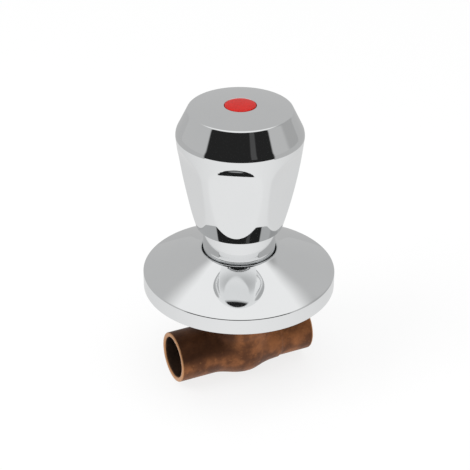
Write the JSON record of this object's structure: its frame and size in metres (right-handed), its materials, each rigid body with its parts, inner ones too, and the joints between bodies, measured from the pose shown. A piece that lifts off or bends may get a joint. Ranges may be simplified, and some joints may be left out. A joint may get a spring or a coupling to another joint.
{
  "type": "concealed stop valve",
  "caption": "Straight wall valve with a tall faceted chrome grip on a round rosette, above a cast body with solder sockets at both ends.",
  "frame": {"origin": "crossing of the pipe's axis and the spindle's axis", "axes": "+Z along the spindle out of the wall, X along the pipe with the inlet at -X"},
  "size_m": [0.07, 0.07, 0.1095],
  "materials": {
    "polished_chrome": "polished plating",
    "cast_gunmetal": "as cast, browned",
    "turned_brass": "turned",
    "stainless_steel": "satin",
    "black_rubber": "matt moulding",
    "red_fibre": "pressed fibre",
    "white_slip_plastic": "smooth, low friction",
    "natural_acetal": "moulded",
    "red_indicator": "glossy"
  },
  "bodies": {
    "valve": {"valve_body": "cast_gunmetal", "body_gasket": "red_fibre", "headwork_housing": "turned_brass", "lower_slip_washer": "white_slip_plastic", "upper_slip_washer": "white_slip_plastic", "gland_nut": "turned_brass", "sleeve": "polished_chrome"},
    "grip": {"handle": "polished_chrome", "spline_insert": "natural_acetal", "lock_washer": "stainless_steel", "handle_screw": "stainless_steel", "indicator_cap": "red_indicator", "spindle": "turned_brass", "lower_o_ring": "black_rubber", "upper_o_ring": "black_rubber"},
    "closure": {"disc_carrier": "turned_brass", "disc_washer": "black_rubber", "clamp_washer": "stainless_steel", "disc_screw": "stainless_steel"},
    "trim": {"rosette": "polished_chrome", "rosette_seal": "black_rubber"}
  },
  "joints": [
    {"name": "handle_turn", "type": "hinge", "parent": "valve", "child": "grip", "pos_m": [0, 0, 0], "axis": [0, 0, 1], "range_deg": [0, 990]},
    {"name": "disc_lift", "type": "slide", "parent": "valve", "child": "closure", "axis": [0, 0, 1], "range_m": [0, 0.0055]},
    {"name": "rosette_slide", "type": "slide", "parent": "valve", "child": "trim", "axis": [0, 0, 1], "range_m": [-0.012, 0.0024]}
  ],
  "couplings": [
    {"joint": "disc_lift", "follows": "handle_turn", "m_per_rad": 0.0003183}
  ]
}
